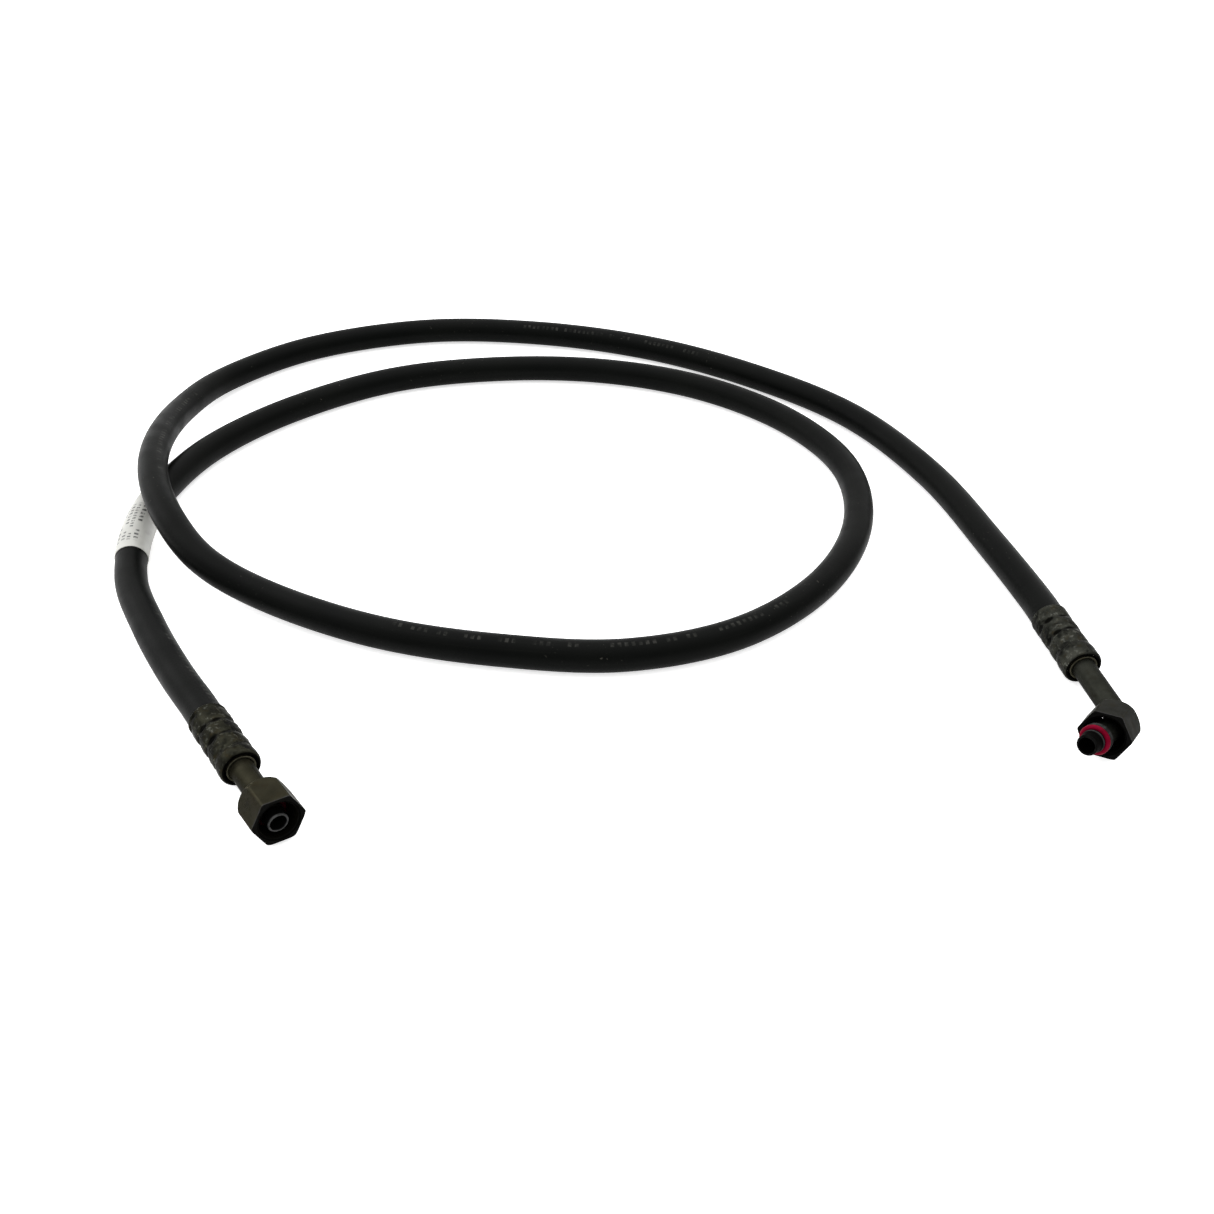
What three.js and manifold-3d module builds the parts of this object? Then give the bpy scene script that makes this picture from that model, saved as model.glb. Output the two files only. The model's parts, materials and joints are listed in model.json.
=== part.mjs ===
// Hydraulic hose assembly: a two-braid rubber hose with a crimped swivel fitting at each end,
// lying on a floor in one loop. Millimetres, +Z up, floor at z = 0.
import * as THREE from "three";
import { mergeVertices } from "three/addons/utils/BufferGeometryUtils.js";
import Module from "manifold-3d";

const wasm = await Module();
wasm.setup();

// ---- Driving dimensions ----
const GAP = 0.3; // left between pieces that touch on the real assembly
const HOSE_R = 9.5; // hose outside diameter 19
const BORE_R = 4.75; // hose bore 9.5
const HOSE_SIDES = 8;
const HOSE_STEPS = 46;

const LABEL_THICK = 0.25;
const LABEL_GAP = 0.45;
const LABEL_FROM = 3.7; // where the label starts and ends, in steps of the hose from its left end
const LABEL_TO = 4.95;

const FERRULE_R = 10.5; // over the ridges that the crimp leaves
const FERRULE_GROOVE_R = 10.1;
const FERRULE_END_R = 10.85; // the uncrimped end beside the mouth
const FERRULE_LIP_R = 8.3;
const FERRULE_RIM_R = 9.2;
const FERRULE_ROUND = 2.2; // length of the rounding at the mouth
const FERRULE_RECESS = 0.8;
const FERRULE_LENGTH = 45.4;
const GROOVE_PITCH = 11.4;
const GROOVES = 3;
const GROOVE_FLANK = 2.2;
// Distances along a fitting are measured outwards from the hose's end: the ferrule's mouth, and the crimp's
// groove nearest to it, which the two ends don't have in quite the same place.
const LEFT_CRIMP = { mouth: 7.3, lastGroove: -1.2 };
const RIGHT_CRIMP = { mouth: 5.6, lastGroove: -6.4 };

const NIPPLE_R = 4.0;
const NIPPLE_BORE_R = 2.7;
const NIPPLE_LENGTH = 39;
const NIPPLE_TIP_R = 3.4;
const BARB_R = 3.6; // behind each barb's edge
const BARB_START = 6;
const BARB_PITCH = 8;
const COLLAR_START = 0.4;
const COLLAR_R = 7.7;
const COLLAR_PROUD = 0.3; // past the ferrule's mouth

const TUBE_R = 6.35; // 12.7 outside diameter
const TUBE_BORE_R = 5.0;
const TUBE_START = 2.4;
const BEAD_R = 7.9;
const BEAD_LENGTH = 2.8;
const PILOT_R = 5.4;
const PILOT_BORE_R = 4.3;
const PILOT_LENGTH = 11;
const RIDGE_R = 6; // small ridge that keeps the O-ring on the pilot
const RIDGE_LENGTH = 0.5;
const RIDGE_RAMP = 0.4;
const EDGE = 0.6; // chamfers of the bead and the pilot
const ORING_OUTER_R = 7.9;
const ORING_SECTION_R = 1.2;
const LEFT_TUBE_END = 52.5;

const NUT_FLATS = 23.8; // across flats, 15/16 in spanner
const NUT_LENGTH = 22.5;
const NUT_DOME = 9; // length of the rounded shoulder
const NUT_BACK_R = 9.8;
const NUT_LIP_R = 7.7;
const NUT_LIP_LENGTH = 2.4;
const NUT_BORE_R = 9.9;
const NUT_MOUTH_R = 10.6;
const NUT_FACE_R = 12.9;
const NUT_CHAMFER = 0.7;
const NUT_TURNED_R = NUT_FLATS / Math.sqrt(3) + 0.2; // the turned outline just clears the hexagon's corners

// Each nut is loose on its tube and lies a little askew: azimuth, tilt and spin of its axis in degrees, and
// how far the middle of its front face is ahead of the pilot's end, to the left of it and above it.
const LEFT_NUT = { azimuth: -54, tilt: 7, spin: 30, ahead: 1, across: 0.3, above: 2.1 };
const RIGHT_NUT = { azimuth: -127, tilt: 14.5, spin: 32, ahead: -16.6, across: 1.6, above: 0.9 };

const ELBOW_LEAD = 49.5; // hose's end to the corner of the elbow
const ELBOW_TANGENT = 10;
const ELBOW_REACH = 40.7; // corner of the elbow to the end of the pilot
const RIGHT_TIP_AZIMUTH = -136;
const RIGHT_TIP_TILT = 12.5;

const Z_AXIS = new THREE.Vector3(0, 0, 1);

// ---- Materials ----
const finish = (color, roughness, metalness = 0) =>
  new THREE.MeshStandardMaterial({ color, roughness, metalness });
const coverRubber = finish(0x1c1c1a, 0.62);
const innerRubber = finish(0x141414, 0.75);
const wireBraid = finish(0x8a8578, 0.4, 0.9);
const darkSteel = finish(0x3a372b, 0.38, 0.85);
const stemSteel = finish(0x4a463a, 0.4, 0.85);
const redSeal = finish(0xb3123a, 0.45);
const labelFilm = finish(0xd9d9d4, 0.5);

// ---- Hose centreline, from the left fitting to the right one ----
const ROUTE = [
  [-164.2, -235, 12], [-177.6, -216, 11.7], [-191.4, -197, 11.4], [-213.4, -167.4, 10.9], [-241, -125, 10.5],
  [-266, -78, 10.5], [-278, -20, 10.6], [-275, 28, 10.4], [-257, 82, 9.8], [-214, 137, 9.6],
  [-144, 186, 9.6], [-62, 205, 9.6], [20, 201, 9.6], [94, 173, 9.6], [154, 121, 9.6],
  [186, 58, 9.6], [185, -12, 9.6], [154, -79, 9.6], [100, -128, 9.6], [34, -149, 9.6],
  [-38, -145, 9.6], [-114, -127, 9.8], [-188, -93, 13], [-224, -70, 20], [-250, -39, 28],
  [-272, 4, 31.2], [-285, 54, 28], [-289, 124, 17.5], [-274, 184, 11], [-219, 242, 9.6],
  [-129, 275, 9.6], [-34, 271, 9.6], [58, 242, 9.6], [136, 193, 9.6], [201, 130, 9.6],
  [243, 46, 9.6], [265, -44, 10], [277, -109, 10.9], [280, -133, 11.2], [283, -157, 11.5],
].map((point) => new THREE.Vector3(...point));

// A run of straight chords through its stations, one step of the parameter for each chord.
class Chords extends THREE.Curve {
  constructor(stations) {
    super();
    this.stations = stations;
  }

  getPoint(t, target = new THREE.Vector3()) {
    const place = t * (this.stations.length - 1);
    const index = Math.min(Math.floor(place), this.stations.length - 2);
    return target.lerpVectors(this.stations[index], this.stations[index + 1], place - index);
  }

  getUtoTmapping(u) {
    return u;
  }
}

function hoseStations() {
  const curve = new THREE.CatmullRomCurve3(ROUTE, false, "centripetal");
  curve.arcLengthDivisions = 2000;
  return curve.getSpacedPoints(HOSE_STEPS);
}

// ---- Shapes ----
function ring(outer, inner, sides) {
  const circle = (radius) => {
    const points = [];
    for (let i = 0; i < sides; i++) {
      const angle = (2 * Math.PI * i) / sides;
      points.push(new THREE.Vector2(radius * Math.cos(angle), radius * Math.sin(angle)));
    }
    return points;
  };
  const shape = new THREE.Shape(circle(outer));
  shape.holes.push(new THREE.Path(circle(inner)));
  return shape;
}

function sweptRing(path, steps, outer, inner, sides) {
  const options = { steps, bevelEnabled: false, extrudePath: path };
  return new THREE.ExtrudeGeometry(ring(outer, inner, sides), options);
}

// A closed outline of [radius, distance along the axis] pairs, turned about +Z.
function turned(outline, segments) {
  const closed = [...outline, outline[0]].map(([radius, along]) => new THREE.Vector2(radius, along));
  return new THREE.LatheGeometry(closed, segments).rotateX(Math.PI / 2);
}

function solid(geometry) {
  const bare = geometry.clone();
  bare.deleteAttribute("normal");
  bare.deleteAttribute("uv");
  const merged = mergeVertices(bare, 1e-4);
  const vertProperties = merged.getAttribute("position").array;
  const triVerts = new Uint32Array(merged.index.array);
  return new wasm.Manifold(new wasm.Mesh({ numProp: 3, vertProperties, triVerts }));
}

function geometryOf(body) {
  const { vertProperties, triVerts } = body.getMesh();
  const geometry = new THREE.BufferGeometry();
  geometry.setAttribute("position", new THREE.BufferAttribute(vertProperties, 3));
  geometry.setIndex(new THREE.BufferAttribute(triVerts, 1));
  geometry.computeVertexNormals();
  return geometry;
}

function node(name, geometry, material) {
  const mesh = new THREE.Mesh(geometry, material);
  mesh.name = name;
  return mesh;
}

// ---- Hose ----
// Layer boundaries from the bore outwards; each layer starts a gap outside the one within it.
const LAYERS = [
  { name: "hose_inner_tube", inner: BORE_R, outer: 6.3, material: innerRubber },
  { name: "hose_inner_wire_braid", inner: 6.3 + GAP, outer: 7.0, material: wireBraid },
  { name: "hose_rubber_interlayer", inner: 7.0 + GAP, outer: 7.6, material: innerRubber },
  { name: "hose_outer_wire_braid", inner: 7.6 + GAP, outer: 8.3, material: wireBraid },
  { name: "hose_cover", inner: 8.3 + GAP, outer: HOSE_R, material: coverRubber },
];

function addHose(parent, stations) {
  const path = new Chords(stations);
  for (const { name, inner, outer, material } of LAYERS) {
    parent.add(node(name, sweptRing(path, HOSE_STEPS, outer, inner, HOSE_SIDES), material));
  }
}

function addLabel(parent, stations) {
  const hose = new Chords(stations);
  const between = stations.slice(Math.ceil(LABEL_FROM), Math.floor(LABEL_TO) + 1);
  const [start, end] = [LABEL_FROM, LABEL_TO].map((step) => hose.getPoint(step / HOSE_STEPS));
  const path = new Chords([start, ...between, end]);
  const steps = between.length + 1;
  const inner = HOSE_R + LABEL_GAP;
  const sleeve = sweptRing(path, steps, inner + LABEL_THICK, inner, HOSE_SIDES);
  parent.add(node("identification_label", sleeve, labelFilm));
}

// ---- Fitting pieces, each along +Z with the hose's end at z = 0 ----
function ferrule({ mouth, lastGroove }) {
  const inside = HOSE_R + GAP;
  const back = mouth - FERRULE_LENGTH;
  const outline = [[inside, COLLAR_START], [inside, back], [FERRULE_R, back]];
  for (let i = GROOVES - 1; i >= 0; i--) {
    const groove = lastGroove - i * GROOVE_PITCH;
    const after = i > 0 ? FERRULE_R : FERRULE_END_R;
    outline.push([FERRULE_R, groove - GROOVE_FLANK], [FERRULE_GROOVE_R, groove]);
    outline.push([after, groove + GROOVE_FLANK]);
  }
  outline.push([FERRULE_END_R, mouth - FERRULE_ROUND], [FERRULE_END_R - 0.35, mouth - 0.5]);
  outline.push([FERRULE_RIM_R, mouth], [FERRULE_LIP_R, mouth - FERRULE_RECESS]);
  outline.push([FERRULE_LIP_R, COLLAR_START]);
  return turned(outline, 16);
}

function insert({ mouth }) {
  const collarEnd = mouth + COLLAR_PROUD;
  const outline = [[NIPPLE_BORE_R, -NIPPLE_LENGTH], [NIPPLE_TIP_R, -NIPPLE_LENGTH]];
  for (let along = BARB_START - NIPPLE_LENGTH; along < -BARB_START; along += BARB_PITCH) {
    outline.push([NIPPLE_R, along], [BARB_R, along + 0.5]);
  }
  outline.push([NIPPLE_R, -2], [NIPPLE_R, COLLAR_START], [COLLAR_R, COLLAR_START], [COLLAR_R, collarEnd]);
  outline.push([TUBE_R + GAP, collarEnd], [TUBE_R + GAP, TUBE_START - GAP]);
  outline.push([NIPPLE_BORE_R, TUBE_START - GAP]);
  return turned(outline, 16);
}

// The bead and pilot at the end of a tube, with the pilot's end face at z = 0.
function pilotEnd() {
  const bead = -PILOT_LENGTH - BEAD_LENGTH;
  const ridge = -PILOT_LENGTH + 2 * (ORING_SECTION_R + GAP) + RIDGE_RAMP;
  return turned([
    [PILOT_BORE_R, 0], [PILOT_BORE_R, bead], [BEAD_R - EDGE, bead], [BEAD_R, bead + EDGE],
    [BEAD_R, -PILOT_LENGTH - EDGE], [BEAD_R - EDGE, -PILOT_LENGTH], [PILOT_R, -PILOT_LENGTH],
    [PILOT_R, ridge - RIDGE_RAMP], [RIDGE_R, ridge], [RIDGE_R, ridge + RIDGE_LENGTH],
    [PILOT_R, ridge + RIDGE_LENGTH + RIDGE_RAMP], [PILOT_R, -EDGE], [PILOT_R - EDGE, 0],
  ], 16);
}

function oRing() {
  return new THREE.TorusGeometry(ORING_OUTER_R - ORING_SECTION_R, ORING_SECTION_R, 8, 20);
}

// Swivel nut from its back face at z = 0 to its front face at z = NUT_LENGTH.
function swivelNut() {
  const outline = [[NUT_LIP_R, NUT_LIP_LENGTH], [NUT_LIP_R, 0], [NUT_BACK_R, 0]];
  const domeSteps = 4;
  for (let i = 1; i <= domeSteps; i++) {
    const angle = (Math.PI / 2) * (i / domeSteps);
    const radius = NUT_BACK_R + (NUT_TURNED_R - NUT_BACK_R) * Math.sin(angle);
    outline.push([radius, NUT_DOME * (1 - Math.cos(angle))]);
  }
  outline.push([NUT_TURNED_R, NUT_LENGTH - NUT_CHAMFER], [NUT_FACE_R, NUT_LENGTH], [NUT_MOUTH_R, NUT_LENGTH]);
  outline.push([NUT_BORE_R, NUT_LENGTH - NUT_CHAMFER], [NUT_BORE_R, NUT_LIP_LENGTH]);
  const cornerR = NUT_FLATS / Math.sqrt(3);
  const hexagon = [];
  for (let i = 0; i < 6; i++) {
    const angle = (Math.PI * i) / 3;
    hexagon.push(new THREE.Vector2(cornerR * Math.cos(angle), cornerR * Math.sin(angle)));
  }
  const options = { depth: NUT_LENGTH + 2, bevelEnabled: false };
  const prism = new THREE.ExtrudeGeometry(new THREE.Shape(hexagon), options).translate(0, 0, -1);
  return geometryOf(solid(turned(outline, 24)).intersect(solid(prism)));
}

// A steel tube along a path, which stops inside the bead of its own pilot end.
function fittingTube(path, steps, tip, heading) {
  const turn = new THREE.Quaternion().setFromUnitVectors(Z_AXIS, heading);
  const end = pilotEnd().applyQuaternion(turn).translate(tip.x, tip.y, tip.z);
  return geometryOf(solid(sweptRing(path, steps, TUBE_R, TUBE_BORE_R, 12)).add(solid(end)));
}

// ---- Assembly ----
function heading(azimuth, tilt) {
  const [a, t] = [THREE.MathUtils.degToRad(azimuth), THREE.MathUtils.degToRad(tilt)];
  return new THREE.Vector3(Math.cos(a) * Math.cos(t), Math.sin(a) * Math.cos(t), Math.sin(t));
}

function onAxis(origin, axis, distance) {
  return origin.clone().addScaledVector(axis, distance);
}

// A group whose +Z lies along the axis, turned by spin degrees about it.
function frame(parent, origin, axis, spin = 0) {
  const group = new THREE.Group();
  group.position.copy(origin);
  group.quaternion.setFromUnitVectors(Z_AXIS, axis);
  group.rotateZ(THREE.MathUtils.degToRad(spin));
  parent.add(group);
  return group;
}

function addFitting(parent, side, crimp, hoseEnd, axis, tube, tip, tipAxis) {
  const end = frame(parent, hoseEnd, axis);
  end.add(node(side + "_ferrule", ferrule(crimp), darkSteel));
  end.add(node(side + "_insert", insert(crimp), stemSteel));
  parent.add(node(side + "_tube", tube, darkSteel));
  const seat = frame(parent, tip, tipAxis);
  const seal = node(side + "_o_ring", oRing(), redSeal);
  seal.position.z = -PILOT_LENGTH + GAP + ORING_SECTION_R;
  seat.add(seal);
}

function addNut(parent, side, tip, tipAxis, { azimuth, tilt, spin, ahead, across, above }) {
  const axis = heading(azimuth, tilt);
  const left = Z_AXIS.clone().cross(tipAxis).normalize();
  const front = onAxis(onAxis(onAxis(tip, tipAxis, ahead), left, across), Z_AXIS, above);
  const nut = node(side + "_swivel_nut", swivelNut(), darkSteel);
  frame(parent, onAxis(front, axis, -NUT_LENGTH), axis, spin).add(nut);
}

function addLeftEnd(parent, stations) {
  const [hoseEnd, before] = stations;
  const axis = hoseEnd.clone().sub(before).normalize();
  const tip = onAxis(hoseEnd, axis, LEFT_TUBE_END);
  const path = new THREE.LineCurve3(
    onAxis(hoseEnd, axis, TUBE_START), onAxis(tip, axis, -PILOT_LENGTH - BEAD_LENGTH / 2));
  addFitting(parent, "left", LEFT_CRIMP, hoseEnd, axis, fittingTube(path, 1, tip, axis), tip, axis);
  addNut(parent, "left", tip, axis, LEFT_NUT);
}

function addRightEnd(parent, stations) {
  const [before, hoseEnd] = stations.slice(-2);
  const axis = hoseEnd.clone().sub(before).normalize();
  const corner = onAxis(hoseEnd, axis, ELBOW_LEAD);
  const tipAxis = heading(RIGHT_TIP_AZIMUTH, RIGHT_TIP_TILT);
  const tip = onAxis(corner, tipAxis, ELBOW_REACH);
  const bendStart = onAxis(corner, axis, -ELBOW_TANGENT);
  const bendEnd = onAxis(corner, tipAxis, ELBOW_TANGENT);
  const path = new THREE.CurvePath();
  path.add(new THREE.LineCurve3(onAxis(hoseEnd, axis, TUBE_START), bendStart));
  path.add(new THREE.QuadraticBezierCurve3(bendStart, corner, bendEnd));
  path.add(new THREE.LineCurve3(bendEnd, onAxis(tip, tipAxis, -PILOT_LENGTH - BEAD_LENGTH / 2)));
  addFitting(parent, "right", RIGHT_CRIMP, hoseEnd, axis, fittingTube(path, 18, tip, tipAxis), tip, tipAxis);
  addNut(parent, "right", tip, tipAxis, RIGHT_NUT);
}

const assembly = new THREE.Group();
const stations = hoseStations();
addHose(assembly, stations);
addLabel(assembly, stations);
addLeftEnd(assembly, stations);
addRightEnd(assembly, stations);

export default assembly;
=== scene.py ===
"""Looks of the hydraulic hose assembly: hose, label, crimped ferrules, tubes, O-rings and swivel nuts."""
import json
import math

import bpy
import numpy as np
from mathutils import Matrix, Vector


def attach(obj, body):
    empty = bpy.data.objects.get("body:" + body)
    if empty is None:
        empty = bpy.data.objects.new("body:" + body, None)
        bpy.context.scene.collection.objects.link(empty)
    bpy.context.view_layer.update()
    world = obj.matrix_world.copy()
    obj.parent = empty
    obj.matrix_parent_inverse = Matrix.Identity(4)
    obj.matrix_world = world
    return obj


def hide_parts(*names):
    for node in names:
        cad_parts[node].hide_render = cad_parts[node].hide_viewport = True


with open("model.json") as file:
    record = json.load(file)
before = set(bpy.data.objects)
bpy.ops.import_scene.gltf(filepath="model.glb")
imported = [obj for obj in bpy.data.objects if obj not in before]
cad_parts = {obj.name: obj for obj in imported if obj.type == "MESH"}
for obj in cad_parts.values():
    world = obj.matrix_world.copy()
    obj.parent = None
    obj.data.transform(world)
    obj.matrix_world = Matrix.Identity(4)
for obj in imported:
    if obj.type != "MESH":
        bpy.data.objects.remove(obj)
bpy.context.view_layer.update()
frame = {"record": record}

MM = 0.001
ROOT = "hose_and_stems"
JOINTS = {joint["name"]: joint for joint in frame["record"]["behaviour"]["joints"]}
Z_AXIS = Vector((0, 0, 1))

# ---- Sizes, in millimetres, the same as the CAD's ----
HOSE_R = 9.5
LABEL_R = 10.15
LABEL_SPAN = (3.7, 4.95)
HOSE_STEPS = 46
# The layers inside the cover: piece, outer radius, inner radius, node, slot.
HOSE_LAYERS = [
    ("bore_tube", 6.4, 4.75, "hose_inner_tube", "inner_rubber"),
    ("first_braid", 7.1, 6.6, "hose_inner_wire_braid", "wire_braid"),
    ("rubber_between_braids", 7.7, 7.3, "hose_rubber_interlayer", "inner_rubber"),
    ("second_braid", 8.3, 7.9, "hose_outer_wire_braid", "wire_braid"),
]
COVER_BORE_R = 8.5
LABEL_BORE_R = 9.6
FERRULE_R = 10.45
FERRULE_END_R = 10.85
FERRULE_LIP_R = 8.7
FERRULE_LENGTH = 45.4
GROOVE_PITCH = 11.4
GROOVE_DEPTHS = (0.26, 0.46, 0.46)
GROOVE_HALF_WIDTH = 1.7
FERRULE_BORE_R = 9.62
JAWS = 8
# How far past the hose's end the ferrule's mouth and the crimp's groove nearest to it are.
CRIMP = {"left": (7.3, -1.2), "right": (5.6, -6.4)}
NIPPLE_LENGTH = 39.0
COLLAR_R = 7.7
COLLAR_PROUD = 0.3
TUBE_R = 6.35
TUBE_BORE_R = 5.0
TUBE_START = 2.4
LEFT_TUBE_END = 52.5
ELBOW_LEAD = 49.5
ELBOW_TANGENT = 10.0
ELBOW_REACH = 40.7
RIGHT_TIP = (-136.0, 12.5)
PILOT_LENGTH = 11.0
BEAD_R = 7.9
PILOT_R = 5.4
PILOT_BORE_R = 4.3
RIDGE_R = 6.0
O_RING_MIDDLE_R = 6.7
O_RING_THICKNESS_R = 1.3
O_RING_ALONG = -9.5
BEAD_LENGTH = 2.8
NUT_FLATS = 23.8
NUT_LENGTH = 22.5
NUT_DOME = 9.0
NUT_BACK_R = 9.8
# The hole in the nut's back: inside, at its narrowest, and at the nut's very end.
NUT_LIP_R = {"left": (7.25, 6.95, 7.0), "right": (7.25, 6.8, 6.77)}
NUT_BORE_R = 9.7
NUT_MOUTH_R = 10.6
NUT_FACE_R = 12.9
NUT_SPIN = {"left": 30.0, "right": 32.0}
NUT_SHOULDER = 2.4
THREAD_PITCH = 1.59
THREAD_DEPTH = 0.42

# How far each end of the hose runs straight, and how far the floor lies below zero, in metres.
STRAIGHT = 0.044
FLOOR_DEPTH = 0.0002
# The stretches of the hose that carry print, in metres from its left end.
PRINTED = [(0.0, 0.15), (1.09, 1.33), (1.54, 1.7), (2.0, 2.16)]
# The label's rows of print: turns from the top, height in turns, length of one block in metres.
LABEL_ROWS = [(-0.13, 0.06, 0.005), (-0.06, 0.042, 0.0036), (-0.005, 0.036, 0.003), (0.06, 0.046, 0.004)]

# The hose's centreline from the left fitting to the right one, in metres.
ROUTE = np.array([
    (-0.1642, -0.235, 0.012), (-0.1776, -0.216, 0.0117), (-0.1914, -0.197, 0.0114),
    (-0.2134, -0.1674, 0.0109), (-0.241, -0.125, 0.0105),
    (-0.266, -0.078, 0.0105), (-0.278, -0.02, 0.0106), (-0.275, 0.028, 0.0104),
    (-0.257, 0.082, 0.0098), (-0.214, 0.137, 0.0096), (-0.144, 0.186, 0.0096), (-0.062, 0.205, 0.0096),
    (0.02, 0.201, 0.0096), (0.094, 0.173, 0.0096), (0.154, 0.121, 0.0096), (0.186, 0.058, 0.0096),
    (0.185, -0.012, 0.0096), (0.154, -0.079, 0.0096), (0.1, -0.128, 0.0096), (0.034, -0.149, 0.0096),
    (-0.038, -0.145, 0.0096), (-0.114, -0.127, 0.0098), (-0.188, -0.093, 0.013), (-0.224, -0.07, 0.02),
    (-0.25, -0.039, 0.028), (-0.272, 0.004, 0.0312), (-0.285, 0.054, 0.028), (-0.289, 0.124, 0.0175),
    (-0.274, 0.184, 0.011), (-0.219, 0.242, 0.0096), (-0.129, 0.275, 0.0096), (-0.034, 0.271, 0.0096),
    (0.058, 0.242, 0.0096), (0.136, 0.193, 0.0096), (0.201, 0.13, 0.0096), (0.243, 0.046, 0.0096),
    (0.265, -0.044, 0.01), (0.277, -0.109, 0.0109), (0.28, -0.133, 0.0112), (0.283, -0.157, 0.0115),
])


# ---- Camera, floor and light ----
def add_camera():
    data = bpy.data.cameras.new("camera")
    data.lens = 36
    data.sensor_width = 36
    camera = bpy.data.objects.new("camera", data)
    camera.location = (0.022, -0.672, 0.4431)
    camera.rotation_euler = (math.radians(52.6), 0, 0)
    bpy.context.scene.collection.objects.link(camera)
    bpy.context.scene.camera = camera


def add_area_light(name, place, target, size, watts):
    data = bpy.data.lights.new(name, "AREA")
    data.shape = "RECTANGLE"
    data.size, data.size_y = size
    data.energy = watts
    light = bpy.data.objects.new(name, data)
    light.location = place
    aim = Vector(target) - Vector(place)
    light.rotation_euler = aim.to_track_quat("-Z", "Y").to_euler()
    bpy.context.scene.collection.objects.link(light)


# How the sky brightens along an axis of its direction: axis, from, to, added brightness.
SKY = [("Z", 0.45, 1.0, 1.3), ("Y", -0.2, 0.9, 0.9), ("X", 0.2, -0.9, 0.3)]
SKY_FLOOR = 0.8


def add_studio():
    """A bright sky overhead and behind, a dimmer one in front, and a pale floor that they wash out."""
    world = bpy.data.worlds.new("studio")
    world.use_nodes = True
    tree = world.node_tree
    direction = tree.nodes.new("ShaderNodeTexCoord").outputs["Generated"]
    parts = tree.nodes.new("ShaderNodeSeparateXYZ")
    tree.links.new(direction, parts.inputs[0])
    glow = None
    for axis, low, high, brightness in SKY:
        span = tree.nodes.new("ShaderNodeMapRange")
        span.interpolation_type = "SMOOTHSTEP"
        for socket, value in zip(("From Min", "From Max", "To Min", "To Max"), (low, high, 0.0, brightness)):
            span.inputs[socket].default_value = value
        tree.links.new(parts.outputs[axis], span.inputs["Value"])
        total = tree.nodes.new("ShaderNodeMath")
        total.operation = "ADD"
        total.inputs[0].default_value = SKY_FLOOR
        if glow:
            tree.links.new(glow, total.inputs[0])
        tree.links.new(span.outputs[0], total.inputs[1])
        glow = total.outputs[0]
    sky = tree.nodes["Background"]
    sky.inputs["Color"].default_value = (1.0, 1.0, 1.0, 1)
    tree.links.new(glow, sky.inputs["Strength"])
    scene = bpy.context.scene
    scene.world = world
    scene.view_settings.view_transform = "Standard"
    add_area_light("overhead", (0.0, 0.3, 1.7), (0, 0.1, 0), (2.6, 1.4), 10)
    add_area_light("side_left", (-1.4, 0.5, 0.9), (-0.1, 0, 0), (1.0, 1.0), 7)
    mesh = bpy.data.meshes.new("floor")
    reach = 8.0
    corners = [(-reach, -reach), (reach, -reach), (reach, reach), (-reach, reach)]
    mesh.from_pydata([(x, y, -FLOOR_DEPTH) for x, y in corners], [], [(0, 1, 2, 3)])
    floor = bpy.data.objects.new("floor", mesh)
    scene.collection.objects.link(floor)
    shade = Shader("floor", roughness=0.9)
    shade.surface.inputs["Specular IOR Level"].default_value = 0.1
    speckle = shade.noise(shade.place(), 3.0, 4)
    shade.base(shade.ramp(speckle, [(0.35, 0.79), (0.65, 0.82)]))
    shade.surface.inputs["Emission Color"].default_value = (1.0, 1.0, 1.0, 1)
    shade.surface.inputs["Emission Strength"].default_value = 0.6
    floor.data.materials.append(shade.material)


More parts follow.
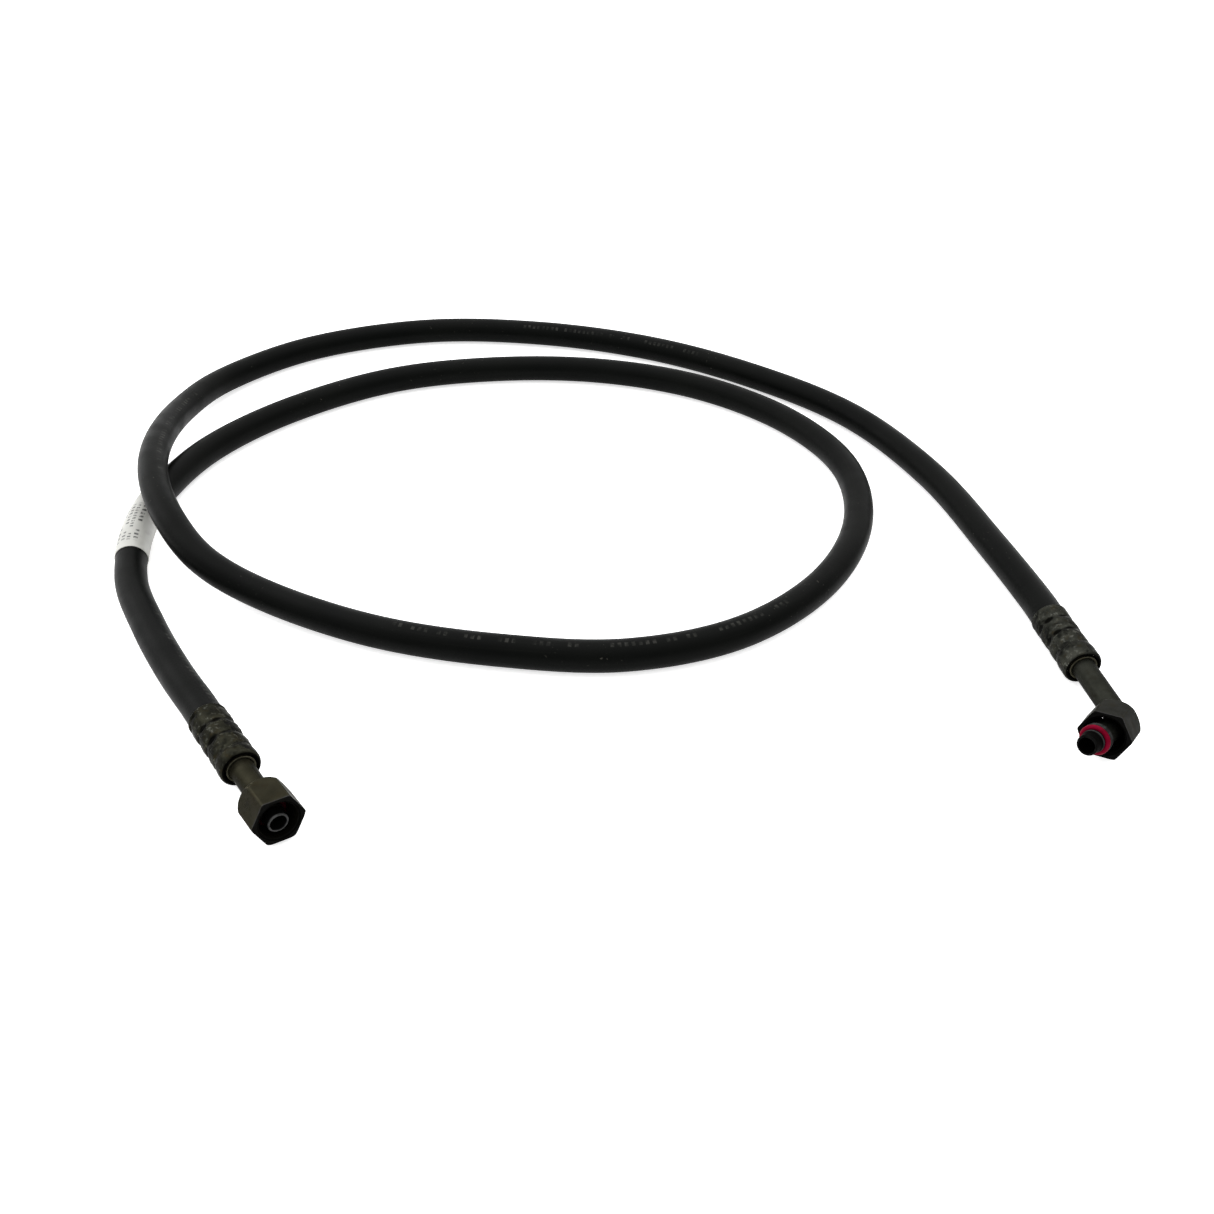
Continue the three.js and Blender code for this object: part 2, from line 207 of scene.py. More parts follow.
# ---- Procedural materials ----
class Shader:
    """A node material that is put together step by step; every method returns the socket it makes."""

    def __init__(self, name, roughness=0.5, metallic=0.0, coat=0.0):
        self.material = bpy.data.materials.new(name)
        self.material.use_nodes = True
        self.tree = self.material.node_tree
        self.surface = self.tree.nodes["Principled BSDF"]
        self.surface.inputs["Roughness"].default_value = roughness
        self.surface.inputs["Metallic"].default_value = metallic
        self.surface.inputs["Coat Weight"].default_value = coat

    def add(self, kind, **settings):
        made = self.tree.nodes.new(kind)
        for key, value in settings.items():
            setattr(made, key, value)
        return made

    def wire(self, source, target):
        if isinstance(source, bpy.types.NodeSocket):
            self.tree.links.new(source, target)
        else:
            target.default_value = source

    def place(self):
        return self.add("ShaderNodeTexCoord").outputs["Object"]

    def wrapped(self):
        """Metres along the piece, and turns round it from the top, from -0.5 to 0.5."""
        along, around, _ = self.split(self.add("ShaderNodeUVMap", uv_map="UVMap").outputs[0])
        return along, self.math("SUBTRACT", self.math("FRACT", self.math("ADD", around, 0.5)), 0.5)

    def measured(self, name):
        """One of the numbers, in millimetres, that add_turned stores on the mesh."""
        return self.add("ShaderNodeAttribute", attribute_name=name).outputs["Fac"]

    def span(self, value, low, high):
        """0 at low and 1 at high, straight between."""
        made = self.add("ShaderNodeMapRange")
        for socket, number in zip(made.inputs, (value, low, high, 0.0, 1.0)):
            self.wire(number, socket)
        return made.outputs[0]

    def math(self, operation, a, b=0.0, c=0.0):
        made = self.add("ShaderNodeMath", operation=operation)
        for value, socket in zip((a, b, c), made.inputs):
            self.wire(value, socket)
        return made.outputs[0]

    def split(self, vector):
        made = self.add("ShaderNodeSeparateXYZ")
        self.wire(vector, made.inputs[0])
        return made.outputs

    def join(self, x, y, z=0.0):
        made = self.add("ShaderNodeCombineXYZ")
        for value, socket in zip((x, y, z), made.inputs):
            self.wire(value, socket)
        return made.outputs[0]

    def noise(self, vector, scale, detail=3.0, rough=0.5):
        made = self.add("ShaderNodeTexNoise")
        self.wire(vector, made.inputs["Vector"])
        made.inputs["Scale"].default_value = scale
        made.inputs["Detail"].default_value = detail
        made.inputs["Roughness"].default_value = rough
        return made.outputs["Fac"]

    def ramp(self, value, stops):
        made = self.add("ShaderNodeValToRGB")
        self.wire(value, made.inputs[0])
        elements = made.color_ramp.elements
        while len(elements) < len(stops):
            elements.new(0.5)
        for element, (place, colour) in zip(elements, stops):
            grey = (colour,) * 3 if isinstance(colour, (int, float)) else colour
            element.position = place
            element.color = (*grey, 1)
        return made.outputs[0]

    def mix(self, share, a, b):
        made = self.add("ShaderNodeMix", data_type="RGBA")
        self.wire(share, made.inputs[0])
        for value, socket in ((a, made.inputs[6]), (b, made.inputs[7])):
            self.wire((*value, 1) if isinstance(value, tuple) else value, socket)
        return made.outputs[2]

    def band(self, value, low, high, soft):
        """1 between low and high, falling to 0 over the soft distance outside."""
        rise, fall = (
            self.math("SMOOTH_MIN", self.math("DIVIDE", self.math("SUBTRACT", a, b), soft), 1.0, 0.1)
            for a, b in ((value, low), (high, value))
        )
        return self.math("MULTIPLY", self.math("MAXIMUM", rise, 0.0), self.math("MAXIMUM", fall, 0.0))

    def base(self, colour):
        self.wire(colour, self.surface.inputs["Base Color"])

    def rough(self, value):
        self.wire(value, self.surface.inputs["Roughness"])

    def bump(self, height, distance, strength=1.0):
        made = self.add("ShaderNodeBump")
        made.inputs["Distance"].default_value = distance
        made.inputs["Strength"].default_value = strength
        self.wire(height, made.inputs["Height"])
        if self.surface.inputs["Normal"].is_linked:
            self.wire(self.surface.inputs["Normal"].links[0].from_socket, made.inputs["Normal"])
        self.wire(made.outputs[0], self.surface.inputs["Normal"])


def print_marks(shade, along, around, height, cell, gaps, share=0.5):
    """Worn printing that spells nothing: short blocks in a band round the hose, with blank stretches."""
    band = shade.band(around, -height / 2, height / 2, height * 0.1)
    cells = shade.math("FLOOR", shade.math("DIVIDE", along, cell))
    blank = shade.noise(shade.join(shade.math("DIVIDE", cells, 7.3), 0.37), gaps, 0)
    groups = shade.math("GREATER_THAN", blank, share)
    inside = shade.math("FRACT", shade.math("DIVIDE", along, cell))
    block = shade.band(inside, 0.14, 0.72, 0.05)
    spot = shade.join(shade.math("MULTIPLY", along, 1.0 / cell), shade.math("DIVIDE", around, height))
    strokes = shade.ramp(shade.noise(spot, 1.1, 2), [(0.36, 0.15), (0.52, 1.0)])
    row = shade.math("MULTIPLY", band, groups)
    return shade.math("MULTIPLY", row, shade.math("MULTIPLY", block, strokes))


def cover_rubber(length):
    shade = Shader("cover_rubber", roughness=0.45)
    shade.surface.inputs["Specular IOR Level"].default_value = 0.035
    place = shade.place()
    along, around = shade.wrapped()
    cloud = shade.noise(place, 14, 5, 0.6)
    tone = shade.ramp(cloud, [(0.3, (0.0005, 0.0007, 0.0006)), (0.7, (0.0015, 0.0018, 0.0014))])
    stretched = shade.join(shade.math("MULTIPLY", along, 9), shade.math("MULTIPLY", around, 60))
    streak = shade.noise(stretched, 1, 4)
    scuff = shade.ramp(streak, [(0.6, 0.0), (0.8, 0.3)])
    tone = shade.mix(scuff, tone, (0.0075, 0.0075, 0.006))
    specks = shade.ramp(shade.noise(place, 560, 2), [(0.7, 0.0), (0.76, 0.6)])
    patches = shade.ramp(shade.noise(place, 11, 2), [(0.5, 0.0), (0.62, 1.0)])
    tone = shade.mix(shade.math("MULTIPLY", specks, patches), tone, (0.045, 0.043, 0.036))
    middle = shade.ramp(shade.math("DIVIDE", along, length), [
        (0.13, 0.61), (0.4, 0.47), (0.5, 0.47), (0.57, 0.6), (0.72, 0.6),
    ])
    offset = shade.math("SUBTRACT", around, shade.math("SUBTRACT", middle, 0.5))
    marks = print_marks(shade, along, offset, 0.056, 0.0039, 2.2, 0.45)
    printed = [shade.band(along, low, high, 0.004) for low, high in PRINTED]
    shown = shade.math("MAXIMUM", shade.math("MAXIMUM", *printed[:2]), shade.math("MAXIMUM", *printed[2:]))
    worn = shade.ramp(shade.noise(place, 170, 3), [(0.42, 0.1), (0.62, 0.7)])
    ink = shade.math("MULTIPLY", shade.math("MULTIPLY", marks, shown), worn)
    shade.base(shade.mix(ink, tone, (0.026, 0.026, 0.023)))
    shade.rough(shade.ramp(shade.noise(place, 60, 4), [(0.3, 0.38), (0.7, 0.52)]))
    shade.bump(shade.noise(place, 900, 3), 0.00006)
    wrap = shade.math("SINE", shade.math("MULTIPLY", along, 2 * math.pi / 0.03))
    shade.bump(shade.math("ADD", wrap, shade.noise(place, 40, 2)), 0.00005, 0.6)
    return shade.material


def plain_rubber():
    shade = Shader("inner_rubber", roughness=0.7)
    place = shade.place()
    shade.base(shade.ramp(shade.noise(place, 90, 4), [(0.3, 0.006), (0.7, 0.013)]))
    shade.bump(shade.noise(place, 700, 3), 0.00008)
    return shade.material


def wire_braid():
    """Two layers of fine wires that cross over each other at 54 degrees to the hose."""
    shade = Shader("wire_braid", roughness=0.35, metallic=0.9)
    along, around = shade.wrapped()
    turns = shade.math("MULTIPLY", around, 24)
    runs = shade.math("MULTIPLY", along, 24 / 0.034)
    one = shade.math("SINE", shade.math("MULTIPLY", shade.math("ADD", turns, runs), 2 * math.pi))
    other = shade.math("SINE", shade.math("MULTIPLY", shade.math("SUBTRACT", turns, runs), 2 * math.pi))
    over = shade.math("MAXIMUM", one, other)
    shade.base(shade.ramp(over, [(0.2, (0.09, 0.08, 0.06)), (0.9, (0.5, 0.47, 0.4))]))
    shade.bump(over, 0.0002)
    return shade.material


def coated_steel(
    name, dark, light, rough, grain=1.0, stain=(0.015, 0.011, 0.004), bright=None, shaded=(), flecks=0.0,
    metal=0.7, gloss=0.08,
):
    """Steel under a thin dark olive coating, with stains, rubbed edges and dark blotches of painted shade.

    bright is a stretch (measure, from, to, grey) towards whose end the steel is painted lighter, as rubbed
    edges and, on the nuts, a painted highlight too; each of shaded is one (measure, from, to) of painted
    shade, where it is nearly black and without shine. grain is how fine the clouds are, flecks how many
    bright chips it has, and metal and gloss how much it mirrors.
    """
    shade = Shader(name, roughness=rough, metallic=metal)
    shade.surface.inputs["Specular IOR Level"].default_value = gloss
    shade.surface.inputs["Specular Tint"].default_value = (0.3, 0.3, 0.28, 1)
    place = shade.place()
    cloud = shade.noise(place, 95 * grain, 5, 0.6)
    tone = shade.ramp(cloud, [(0.32, dark), (0.68, light)])
    stains = shade.ramp(shade.noise(place, 260 * grain, 3), [(0.55, 0.0), (0.72, 0.6)])
    tone = shade.mix(stains, tone, stain)
    speckle = shade.noise(place, 420, 3)
    edge = shade.add("ShaderNodeNewGeometry").outputs["Pointiness"]
    rubbed = shade.ramp(edge, [(0.51, 0.0), (0.56, 0.5)])
    rubbed = shade.math("MULTIPLY", rubbed, shade.ramp(speckle, [(0.35, 0.2), (0.6, 1.0)]))
    tone = shade.mix(rubbed, tone, tuple(min(1.0, 4 * part + 0.02) for part in light))
    if flecks:
        chips = shade.ramp(shade.noise(place, 430, 3, 0.65), [(0.55, 0.0), (0.68, flecks)])
        spread = shade.ramp(shade.noise(place, 75, 2), [(0.42, 0.2), (0.6, 1.0)])
        tone = shade.mix(shade.math("MULTIPLY", chips, spread), tone, (0.07, 0.071, 0.062))
        # Dark blotches at random on the shell: painted shade standing in for shadowed crimp pockets.
        pocket_shade = shade.ramp(shade.noise(place, 170, 2, 0.6), [(0.32, 0.85), (0.45, 0.0)])
        tone = shade.mix(pocket_shade, tone, (0.001, 0.0012, 0.0008))
    # Painted lighter towards the end of the bright stretch: rubbed edges, and on the nuts a painted
    # highlight.
    if bright:
        worn = shade.span(shade.measured(bright[0]), *bright[1:3])
        worn = shade.math("MULTIPLY", worn, shade.ramp(speckle, [(0.35, 0.25), (0.6, 1.0)]))
        tone = shade.mix(worn, tone, (bright[3],) * 3)
    # Painted shade: each shaded stretch turns nearly black and loses its metal and gloss.
    lit = 1.0
    for measure, *stretch in shaded:
        depth = shade.math("MULTIPLY", shade.span(shade.measured(measure), *stretch), 0.93)
        tone = shade.mix(depth, tone, (0.0006, 0.0006, 0.0005))
        lit = shade.math("MULTIPLY", lit, shade.math("SUBTRACT", 1.0, depth))
    if shaded:
        shade.wire(shade.math("MULTIPLY", lit, metal), shade.surface.inputs["Metallic"])
        shade.wire(shade.math("MULTIPLY", lit, gloss), shade.surface.inputs["Specular IOR Level"])
    shade.base(tone)
    shade.rough(shade.ramp(shade.noise(place, 210, 4), [(0.3, rough - 0.07), (0.7, rough + 0.12)]))
    shade.bump(shade.noise(place, 1500, 2), 0.00002)
    shade.bump(shade.noise(place, 240, 3), 0.00006 + 0.00014 * flecks, 0.7)
    return shade.material


def red_seal(name, dark, light):
    shade = Shader(name, roughness=0.4)
    place = shade.place()
    shade.surface.inputs["Specular IOR Level"].default_value = 0.02
    tone = shade.noise(place, 300, 3)
    shade.base(shade.ramp(tone, [(0.3, dark), (0.7, light)]))
    shade.rough(shade.ramp(shade.noise(place, 500, 2), [(0.3, 0.32), (0.7, 0.48)]))
    shade.bump(shade.noise(place, 900, 2), 0.00002)
    return shade.material


def label_film():
    """Pale film with small dark blocks that stand for its printing."""
    shade = Shader("label_film", roughness=0.42)
    place = shade.place()
    along, around = shade.wrapped()
    tone = shade.ramp(shade.noise(place, 45, 4), [(0.3, (0.27, 0.27, 0.25)), (0.7, (0.36, 0.36, 0.335))])
    ink = 0.0
    for middle, height, cell in LABEL_ROWS:
        row = print_marks(shade, along, shade.math("SUBTRACT", around, middle), height, cell, 2.3, 0.4)
        ink = shade.math("MAXIMUM", ink, row)
    ink = shade.math("MULTIPLY", ink, shade.band(along, 0.006, 0.05, 0.002))
    tone = shade.mix(shade.math("MULTIPLY", ink, 0.9), tone, (0.012, 0.012, 0.014))
    grime = shade.ramp(shade.noise(place, 130, 5), [(0.54, 0.0), (0.75, 0.45)])
    shade.base(shade.mix(grime, tone, (0.12, 0.115, 0.1)))
    shade.rough(shade.ramp(shade.noise(place, 90, 3), [(0.3, 0.35), (0.7, 0.55)]))
    creases = shade.join(shade.math("MULTIPLY", along, 260), shade.math("MULTIPLY", around, 9))
    wrinkle = shade.noise(creases, 1, 3)
    shade.bump(wrinkle, 0.00012)
    return shade.material


# ---- Mesh helpers ----
def add_grid(name, points, along, material, body, node, wrap_ends=False):
    """A closed mesh from rings of points, [ring][side] -> (x, y, z) in metres, with along/around as UVs."""
    rings, sides = points.shape[:2]
    mesh = bpy.data.meshes.new(name)
    ring_pairs = [(i, (i + 1) % rings) for i in range(rings if wrap_ends else rings - 1)]
    faces = []
    uvs = []
    for i, following in ring_pairs:
        for k in range(sides):
            after = (k + 1) % sides
            faces.append((i * sides + k, i * sides + after, following * sides + after, following * sides + k))
            low, high = along[i], along[following] if following else along[i]
            uvs += [(low, k / sides), (low, (k + 1) / sides), (high, (k + 1) / sides), (high, k / sides)]
    mesh.from_pydata(points.reshape(-1, 3).tolist(), [], faces)
    layer = mesh.uv_layers.new(name="UVMap")
    layer.data.foreach_set("uv", np.array(uvs, np.float32).ravel())
    mesh.validate()
    mesh.polygons.foreach_set("use_smooth", [True] * len(mesh.polygons))
    mesh.update()
    mesh.set_sharp_from_angle(angle=math.radians(42))
    mesh.materials.append(material)
    piece = bpy.data.objects.new(name, mesh)
    bpy.context.scene.collection.objects.link(piece)
    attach(piece, body)
    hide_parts(node)
    return piece


def smooth_route(points, per_span=40):
    """A centripetal Catmull-Rom curve through the points, sampled densely."""
    ends = [2 * points[0] - points[1], *points, 2 * points[-1] - points[-2]]
    samples = []
    for p0, p1, p2, p3 in zip(ends, ends[1:], ends[2:], ends[3:]):
        d0, d1, d2 = (math.sqrt(np.linalg.norm(b - a)) for a, b in ((p0, p1), (p1, p2), (p2, p3)))
        out = ((p1 - p0) / d0 - (p2 - p0) / (d0 + d1) + (p2 - p1) / d1) * d1
        into = ((p2 - p1) / d1 - (p3 - p1) / (d1 + d2) + (p3 - p2) / d2) * d1
        for t in np.arange(per_span) / per_span:
            square, cube = t * t, t * t * t
            samples.append((2 * cube - 3 * square + 1) * p1 + (cube - 2 * square + t) * out
                           + (3 * square - 2 * cube) * p2 + (cube - square) * into)
    samples.append(points[-1])
    return np.array(samples)


def distances(path):
    return np.concatenate([[0], np.cumsum(np.linalg.norm(np.diff(path, axis=0), axis=1))])


def resample(path, places):
    """Points on the path at the given distances from its start."""
    walked = distances(path)
    return np.stack([np.interp(places, walked, path[:, axis]) for axis in range(3)], axis=1)


def hose_path(spacing):
    """The hose's centreline at even spacing, straight for one CAD step inside each fitting."""
    curve = smooth_route(ROUTE)
    total = distances(curve)[-1]
    step = total / HOSE_STEPS
    count = round(total / spacing)
    places = np.linspace(0, total, count + 1)
    path = resample(curve, places)
    stations = resample(curve, np.linspace(0, total, HOSE_STEPS + 1))
    ends = ((stations[0], stations[1], places), (stations[-1], stations[-2], total - places))
    for near, far, depth in ends:
        straight = near + np.outer(depth / step, far - near)
        share = np.clip((depth - STRAIGHT) / (step - STRAIGHT), 0, 1)
        share = (share * share * (3 - 2 * share))[:, None]
        path = np.where(depth[:, None] < step, straight * (1 - share) + path * share, path)
    return path, stations


def swept_frames(path):
    """Unit vectors across the path: 'up' is kept as level with +Z as the path allows."""
    tangent = np.gradient(path, axis=0)
    tangent /= np.linalg.norm(tangent, axis=1)[:, None]
    side = np.cross(tangent, (0, 0, 1))
    side /= np.linalg.norm(side, axis=1)[:, None]
    return side, np.cross(side, tangent)


def tube_rings(path, radius, sides):
    side, up = swept_frames(path)
    angle = 2 * np.pi * np.arange(sides) / sides
    radius = np.broadcast_to(np.asarray(radius, float), (len(path),))
    return (path[:, None] + radius[:, None, None]
            * (np.cos(angle)[None, :, None] * up[:, None] + np.sin(angle)[None, :, None] * side[:, None]))


def add_pipe(name, path, outer, inner, sides, material, node, slot, edge=0.0):
    """A hollow tube along a path, in metres, with its outer edges rounded off by 'edge'."""
    walked = distances(path)
    outside = np.full(len(path), outer)
    outside[[0, -1]] -= edge
    points = np.concatenate([tube_rings(path, outside, sides), tube_rings(path, inner, sides)[::-1]])
    return add_grid(name, points, np.concatenate([walked, walked[::-1]]), material, ROOT, node, True)


def rounded(outline, radius, arc=3):
    """The closed outline with each corner cut by a small curve; points are (radius, along) in mm."""
    result = []
    count = len(outline)
    for i in range(count):
        before, corner, after = (np.array(outline[(i + k) % count], float) for k in (-1, 0, 1))
        back, ahead = before - corner, after - corner
        cut = min(radius, 0.45 * np.linalg.norm(back), 0.45 * np.linalg.norm(ahead))
        start = corner + back / np.linalg.norm(back) * cut
        end = corner + ahead / np.linalg.norm(ahead) * cut
        for t in np.linspace(0, 1, arc + 1):
            result.append((1 - t) ** 2 * start + 2 * t * (1 - t) * corner + t * t * end)
    return np.array(result)


def divided(outline, longest):
    """The closed outline with extra points, so that no stretch is longer than 'longest'."""
    result = []
    for a, b in zip(outline, np.roll(outline, -1, axis=0)):
        pieces = max(1, math.ceil(np.linalg.norm(b - a) / longest))
        result += [a + (b - a) * k / pieces for k in range(pieces)]
    return np.array(result)


def add_turned(name, outline, sides, place, shape, material, body, node):
    """A closed outline turned about the place's Z axis; shape(radius, along, angle) changes its radius."""
    angle = 2 * np.pi * np.arange(sides) / sides
    radius = np.repeat(outline[:, :1], sides, axis=1)
    height = np.repeat(outline[:, 1:], sides, axis=1)
    radius = shape(radius, height, angle[None, :]) if shape else radius
    local = np.stack([radius * np.cos(angle), radius * np.sin(angle), height], axis=2) * MM
    matrix = np.array(place)
    points = local @ matrix[:3, :3].T + matrix[:3, 3]
    piece = add_grid(name, points, distances(outline) * MM, material, body, node, True)
    for measure, values in (("radius_mm", radius), ("along_mm", height)):
        layer = piece.data.attributes.new(measure, "FLOAT", "POINT")
        layer.data.foreach_set("value", values.astype(np.float32).ravel())
    return piece


def placed(origin, axis, spin=0.0):
    """A frame in metres whose +Z lies along the axis, turned by spin degrees about it."""
    turn = Z_AXIS.rotation_difference(Vector(axis)).to_matrix().to_4x4()
    return Matrix.Translation(Vector(origin)) @ turn @ Matrix.Rotation(math.radians(spin), 4, "Z")


def heading(azimuth, tilt):
    a, t = math.radians(azimuth), math.radians(tilt)
    return np.array([math.cos(a) * math.cos(t), math.sin(a) * math.cos(t), math.sin(t)])


# ---- Fitting pieces ----
def ferrule_radius(along, last_groove):
    """Outer radius of the crimped shell: three wide ridges with grooves between, and the fuller end."""
    past = along - last_groove
    depth = sum(
        deep * math.exp(-(((past + i * GROOVE_PITCH) / GROOVE_HALF_WIDTH) ** 2))
        for i, deep in enumerate(GROOVE_DEPTHS)
    )
    fuller = 1 / (1 + math.exp(-(past - 1.6) / 0.7))
    crown = 0.12 * abs(math.sin(math.pi * past / GROOVE_PITCH)) * (1 - fuller)
    return FERRULE_R - 0.06 + crown + (FERRULE_END_R - FERRULE_R) * fuller - depth


def add_ferrule(side, place, material):
    """A crimped shell: ridges pressed by eight jaws, which leave a thin rib between each two."""
    inside = FERRULE_BORE_R
    mouth, last_groove = CRIMP[side]
    back = mouth - FERRULE_LENGTH
    start = back + 0.6
    outer = [(inside, back), (ferrule_radius(start, last_groove) - 0.3, back)]
    outer += [(ferrule_radius(along, last_groove), along) for along in np.arange(start, mouth - 2.4, 0.3)]
    rim = [(10.78, -1.7), (10.5, -0.75), (9.95, -0.2), (9.4, 0.0), (8.95, -0.12), (FERRULE_LIP_R, -0.5)]
    outer += [(radius, mouth + along) for radius, along in rim]
    outer += [(FERRULE_LIP_R, 0.6), (inside, 0.6)]
    outline = divided(rounded(outer, 0.12, 2), 0.4)

    # The deepest marks are 85 degrees round from the top, on the left of the view.
    deepest = math.atan2(place[1][2], place[0][2]) + math.radians(265)

    def crimped(radius, along, angle):
        jaw = np.abs((((angle - deepest) / (2 * np.pi) * JAWS + 0.5) % 1) - 0.5) * 2
        rib = np.exp(-(((1 - jaw) / 0.07) ** 2))
        flat = 0.13 * np.cos(np.pi * jaw / 2) ** 2
        zone = np.clip((along - back - 1.2) / 1.5, 0, 1) * np.clip((last_groove - along) / 1.5, 0, 1)
        phase = ((along - last_groove) / GROOVE_PITCH + 0.5) % 1 - 0.5
        pressed = 0.12 + 0.6 * np.clip(np.cos(angle - deepest), 0, 1) ** 2
        pocket = pressed * np.exp(-((phase / 0.14) ** 2)) * np.cos(np.pi * jaw / 2) ** 2
        ridge = np.clip(np.abs(phase) * 7 - 0.6, 0, 1) * (0.6 + 0.4 * np.sin(angle * 5 + along * 1.3))
        uneven = 0.06 * np.sin(angle * 3 + along * 0.35) + 0.05 * np.sin(angle * 7 - along * 0.9)
        change = zone * (0.2 * rib * ridge - flat - pocket + uneven)
        return np.where(radius > inside + 0.05, np.maximum(radius + change, inside + 0.08), radius)

    add_turned(
        side + "_crimped_shell", outline, 288, place, crimped, material,
        ROOT, side + "_ferrule")


def add_insert(side, place, material):
    collar_end = CRIMP[side][0] + COLLAR_PROUD
    outline = [(2.7, -NIPPLE_LENGTH), (3.4, -NIPPLE_LENGTH)]
    for along in np.arange(6 - NIPPLE_LENGTH, -6, 8):
        outline += [(4.0, along), (3.6, along + 0.5)]
    outline += [(4.0, -2), (4.0, 0.9), (COLLAR_R, 0.9), (COLLAR_R, collar_end)]
    outline += [(TUBE_R + 0.15, collar_end), (TUBE_R + 0.15, 2.1), (2.7, 2.1)]
    turned = divided(rounded(outline, 0.35, 3), 1.0)
    add_turned(side + "_stem", turned, 96, place, None, material, ROOT, side + "_insert")


def add_nut(side, material):
    joint = JOINTS[side + "_nut_spin"]
    place = placed(joint["pos_m"], joint["axis"], NUT_SPIN[side])
    corner = NUT_FLATS / math.sqrt(3)
    widest = corner + 0.2
    inner, narrowest, end = NUT_LIP_R[side]
    outline = [(inner, NUT_SHOULDER), (narrowest, 0.1), (end, -0.5), (8.9, -0.5), (NUT_BACK_R, 0.0)]
    for angle in np.linspace(0, math.pi / 2, 13)[1:]:
        radius = NUT_BACK_R + (widest - NUT_BACK_R) * math.sin(angle)
        outline.append((radius, NUT_DOME * (1 - math.cos(angle))))
    outline += [(widest, NUT_LENGTH - 0.7), (NUT_FACE_R, NUT_LENGTH), (NUT_MOUTH_R, NUT_LENGTH)]
    outline += [(NUT_BORE_R, NUT_LENGTH - 0.9), (NUT_BORE_R, NUT_SHOULDER)]
    turned = divided(rounded(outline, 0.3, 3), 0.3)

    def hexagonal(radius, along, angle):
        turn = (angle % (math.pi / 3)) - math.pi / 6
        flat = np.minimum(NUT_FLATS / 2 / np.cos(turn), corner - 0.25)
        soft = 0.22
        share = np.clip(0.5 + 0.5 * (flat - radius) / soft, 0, 1)
        outer = flat * (1 - share) + radius * share - soft * share * (1 - share)
        thread = THREAD_DEPTH * (np.abs(((along / THREAD_PITCH - angle / (2 * np.pi)) % 1) - 0.5) * 2 - 0.5)
        depth = np.clip((along - 3.4) / 1.0, 0, 1) * np.clip((NUT_LENGTH - 1.4 - along) / 0.8, 0, 1)
        bore = radius + thread * depth
        inside = np.where(np.abs(radius - NUT_BORE_R) < 0.05, bore, radius)
        return np.where(radius > NUT_BORE_R + 0.05, outer, inside)

    add_turned(
        side + "_hexagon_nut", turned, 240, place, hexagonal, material,
        side + "_nut", side + "_swivel_nut")


def add_o_ring(side, place, material):
    turn = np.linspace(0, 2 * np.pi, 25)[:-1]
    radius = O_RING_MIDDLE_R + O_RING_THICKNESS_R * np.cos(turn)
    outline = np.stack([radius, O_RING_ALONG + O_RING_THICKNESS_R * np.sin(turn)], axis=1)
    add_turned(side + "_seal", outline, 128, place, None, material, ROOT, side + "_o_ring")


def add_stem_tube(side, path, tip_place, material, tip_material):
    """The bare tube and, as one piece, the beaded pilot at its end."""
    bead = -PILOT_LENGTH - BEAD_LENGTH
    outline = [
        (PILOT_BORE_R, 0), (PILOT_BORE_R, bead), (7.2, bead), (BEAD_R, bead + 0.7),
        (BEAD_R, -PILOT_LENGTH - 0.5), (7.4, -PILOT_LENGTH), (PILOT_R, -PILOT_LENGTH),
        (PILOT_R, -8.0), (RIDGE_R, -7.6), (RIDGE_R, -7.0), (PILOT_R, -6.4), (PILOT_R, -0.6), (4.9, 0),
    ]
    turned = divided(rounded(outline, 0.25, 3), 0.8)
    radii = (TUBE_R * MM, TUBE_BORE_R * MM)
    add_pipe(side + "_bent_tube", path, *radii, 64, material, side + "_tube", "tube_steel")
    add_turned(side + "_pilot", turned, 96, tip_place, None, tip_material, ROOT, side + "_tube")


def fitting_path(points, spacing=0.0015):
    path = np.array(points) * 1.0
    return resample(path, np.linspace(0, distances(path)[-1], round(distances(path)[-1] / spacing) + 1))


def left_end(start, axis):
    tip = start + axis * LEFT_TUBE_END * MM
    path = fitting_path([start + axis * TUBE_START * MM, tip - axis * (PILOT_LENGTH + BEAD_LENGTH / 2) * MM])
    return path, placed(tip, axis)


def right_end(start, axis):
    corner = start + axis * ELBOW_LEAD * MM
    away = heading(*RIGHT_TIP)
    tip = corner + away * ELBOW_REACH * MM
    into, out = corner - axis * ELBOW_TANGENT * MM, corner + away * ELBOW_TANGENT * MM
    bend = [(1 - t) ** 2 * into + 2 * t * (1 - t) * corner + t * t * out for t in np.linspace(0, 1, 40)]
    last = tip - away * (PILOT_LENGTH + BEAD_LENGTH / 2) * MM
    return fitting_path([start + axis * TUBE_START * MM, *bend, last], 0.0008), placed(tip, away)


# ---- Assembly ----
add_camera()
path, stations = hose_path(0.004)
total = distances(path)[-1]
rubber = cover_rubber(total)
cover = add_pipe(
    "outer_cover", path, HOSE_R * MM, COVER_BORE_R * MM, 40, rubber, "hose_cover", "cover_rubber", 0.0008)
layer_materials = {"inner_rubber": plain_rubber(), "wire_braid": wire_braid()}
coarse = path[::3] if (len(path) - 1) % 3 == 0 else np.concatenate([path[:-1:3], path[-1:]])
for name, outer_r, bore_r, node, slot in HOSE_LAYERS:
    add_pipe(name, coarse, outer_r * MM, bore_r * MM, 20, layer_materials[slot], node, slot)

low, high = (share * total / HOSE_STEPS for share in LABEL_SPAN)
label_path = resample(path, np.linspace(low, high, 48))
label = add_pipe(
    "paper_label", label_path, LABEL_R * MM, LABEL_BORE_R * MM, 48, label_film(),
    "identification_label", "label_film", 0.0002)
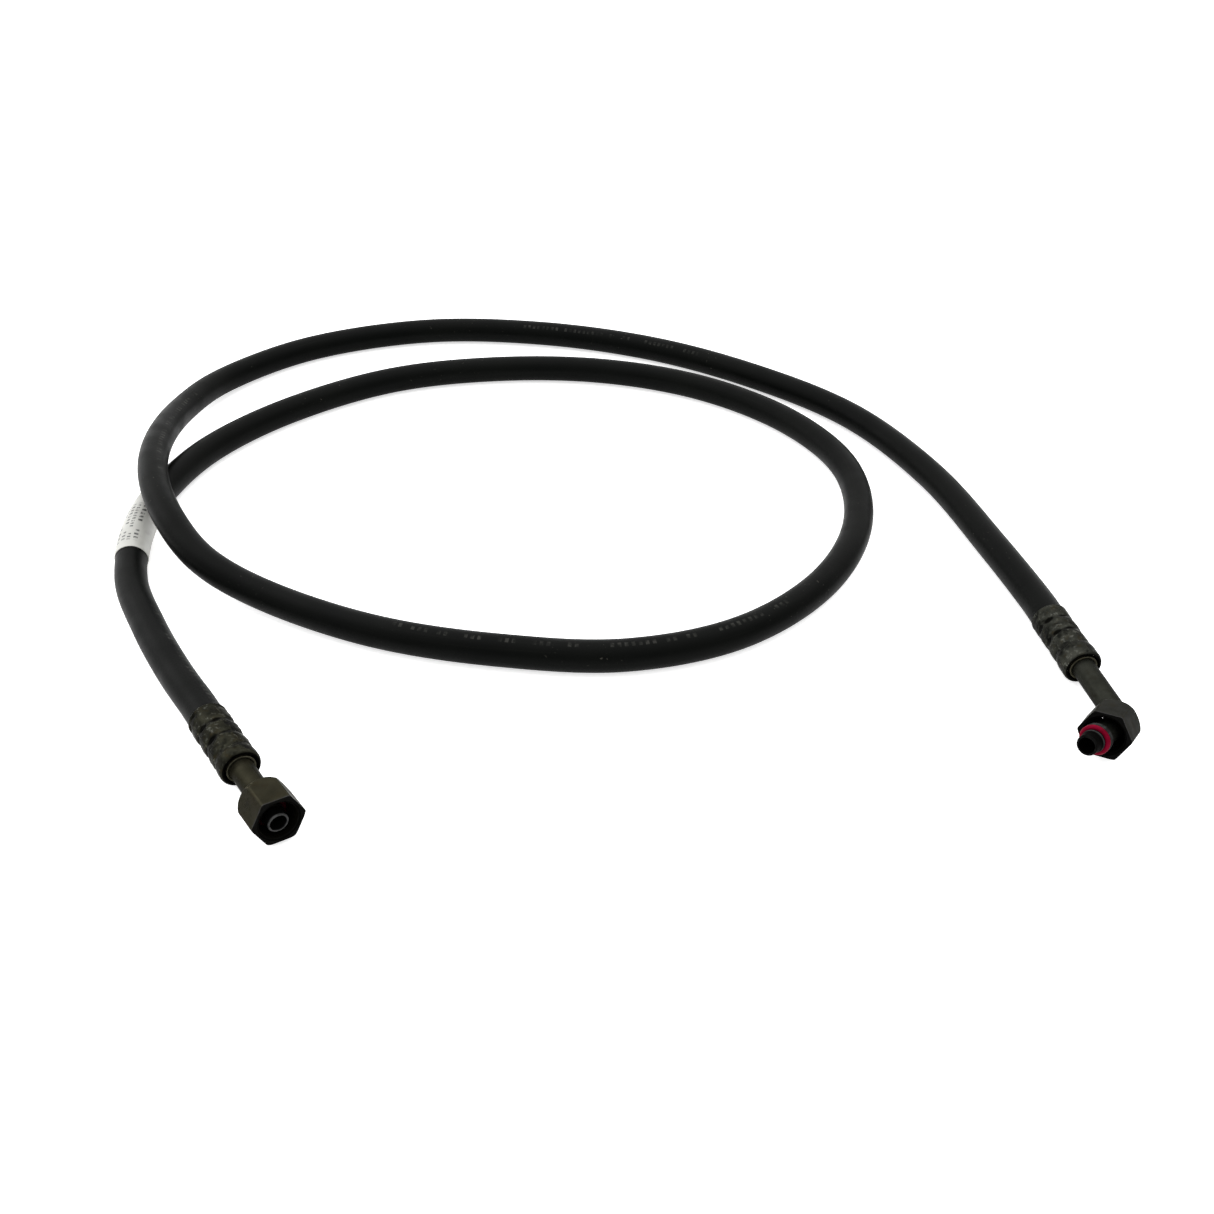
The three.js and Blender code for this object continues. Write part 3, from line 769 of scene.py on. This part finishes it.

# One coating in two tones, as painted light and shade: olive on the left; greyer on the right, with a darker
# nut and a lighter shell.
COATS = {
    "left": {
        "shell": ((0.0046, 0.0047, 0.0034), (0.0195, 0.0192, 0.0132)),
        "nut": ((0.0128, 0.0118, 0.0072), (0.0252, 0.0233, 0.0148)),
        "tube": ((0.0112, 0.0106, 0.0066), (0.0225, 0.021, 0.0135)),
    },
    "right": {
        "shell": ((0.006, 0.0063, 0.0052), (0.027, 0.0276, 0.0226)),
        "nut": ((0.011, 0.0111, 0.0088), (0.0216, 0.0218, 0.0178)),
        "tube": ((0.0104, 0.0108, 0.0086), (0.0205, 0.0213, 0.0172)),
    },
}


def coated_pieces(side):
    """The steels of one fitting's ferrule, nut and tube."""
    coats = COATS[side]
    return (
        # The shell's crimp pockets, mouth and inside are painted nearly black, without shine: painted shade.
        coated_steel(
            side + "_shell_steel", *coats["shell"], 0.36, shaded=[("radius_mm", 10.1, 9.78)], flecks=0.8),
        # Painted highlight with rubbed edges at the front of the flats; painted shade on bore, back and face.
        coated_steel(
            side + "_nut_steel", *coats["nut"], 0.46, 0.6,
            bright=("along_mm", NUT_LENGTH - 1.2, NUT_LENGTH - 0.7, 0.035),
            shaded=[("radius_mm", 10.9, 10.6), ("along_mm", NUT_LENGTH - 0.6, NUT_LENGTH - 0.2)]),
        coated_steel(side + "_tube_steel", *coats["tube"], 0.4, 0.5, (0.007, 0.0055, 0.0025)),
    )


stem_steel = coated_steel("stem_steel", (0.008, 0.0075, 0.0045), (0.024, 0.0225, 0.0145), 0.34)
pilot_steel = {
    "left": coated_steel(
        "grey_pilot", (0.003, 0.003, 0.0028), (0.008, 0.008, 0.0075), 0.34, 0.8, (0.004, 0.004, 0.0035),
        bright=("along_mm", -0.9, -0.3, 0.05)),
    # The right pilot is nearly black without metal or gloss, as painted shade; from its ridge out it is
    # painted grey.
    "right": coated_steel(
        "dark_pilot", (0.0006, 0.0006, 0.0005), (0.0018, 0.0018, 0.0017), 0.45, 0.8, (0.0016, 0.0016, 0.0014),
        bright=("radius_mm", 5.55, 5.9, 0.028), metal=0.0, gloss=0.006),
}
seal = {
    # The left seal is a darker copy of the red seal: painted shade inside the nut.
    "left": red_seal("shade_painted_seal", (0.009, 0.0002, 0.001), (0.016, 0.0003, 0.002)),
    "right": red_seal("red_seal", (0.08, 0.0002, 0.006), (0.13, 0.0004, 0.012)),
}

ENDS = (("left", stations[0], stations[1], left_end), ("right", stations[-1], stations[-2], right_end))
for side, near, far, build in ENDS:
    axis = (near - far) / np.linalg.norm(near - far)
    end_place = placed(near, axis)
    tube_path, tip_place = build(near, axis)
    shell_steel, nut_steel, tube_steel = coated_pieces(side)
    add_ferrule(side, end_place, shell_steel)
    add_insert(side, end_place, stem_steel)
    add_stem_tube(side, tube_path, tip_place, tube_steel, pilot_steel[side])
    add_o_ring(side, tip_place, seal[side])
    add_nut(side, nut_steel)

add_studio()
